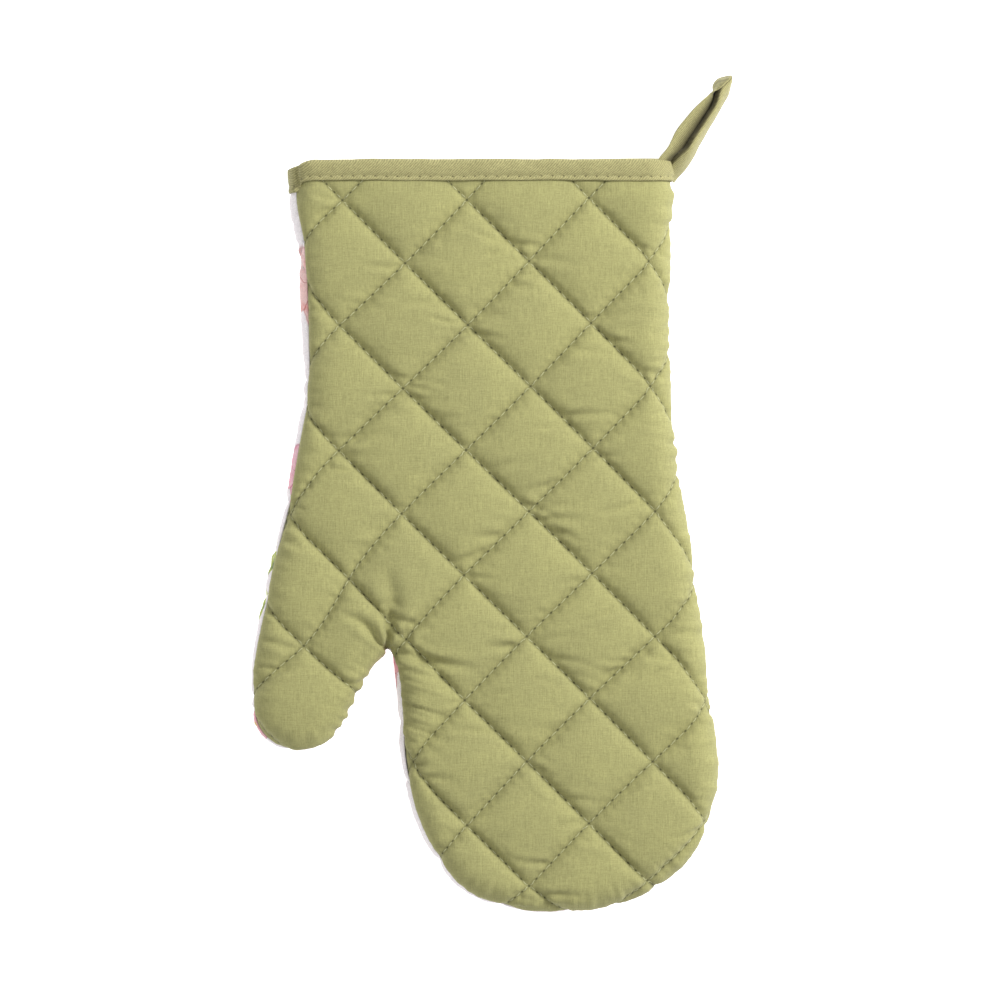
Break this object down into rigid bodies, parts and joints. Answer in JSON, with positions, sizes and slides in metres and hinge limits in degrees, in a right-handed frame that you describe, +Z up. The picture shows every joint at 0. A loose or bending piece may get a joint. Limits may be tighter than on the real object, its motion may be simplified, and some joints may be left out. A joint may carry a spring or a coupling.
{
  "type": "oven mitt",
  "caption": "Quilted oven mitt with a thumb, lying flat on its back: padded palm and printed back panels, a bound mouth and a hanging loop at the cuff corner.",
  "frame": {"origin": "under the middle of the whole mitt with its loop, on the surface it lies on", "axes": "+Y from the fingertips to the mouth and the loop, +Z up out of the palm panel, -X on the thumb's side"},
  "size_m": [0.2063, 0.3598, 0.026],
  "materials": {
    "green_cotton": "matte plain-weave cotton",
    "printed_cotton": "matte cotton with a flower print",
    "wadding": "fluffy polyester wadding",
    "lining_cotton": "matte undyed cotton",
    "binding_tape": "matte twill strip",
    "green_thread": "spun polyester sewing thread",
    "white_thread": "spun polyester sewing thread"
  },
  "bodies": {
    "mitt": {"palm_outer": "green_cotton", "palm_wadding": "wadding", "palm_lining": "lining_cotton", "palm_quilting_thread": "green_thread", "palm_bobbin_thread": "green_thread", "back_outer": "printed_cotton", "back_wadding": "wadding", "back_lining": "lining_cotton", "back_quilting_thread": "white_thread", "back_bobbin_thread": "white_thread", "side_seam_thread": "green_thread", "cuff_binding": "binding_tape", "binding_thread": "green_thread", "loop_tails": "binding_tape"},
    "loop": {"hanging_loop": "binding_tape"}
  },
  "joints": [
    {"name": "loop_fold", "type": "hinge", "parent": "mitt", "child": "loop", "pos_m": [0.07365, 0.1452, 0.01749], "axis": [0.5794, 0, -0.8151], "range_deg": [-24, 24]}
  ]
}
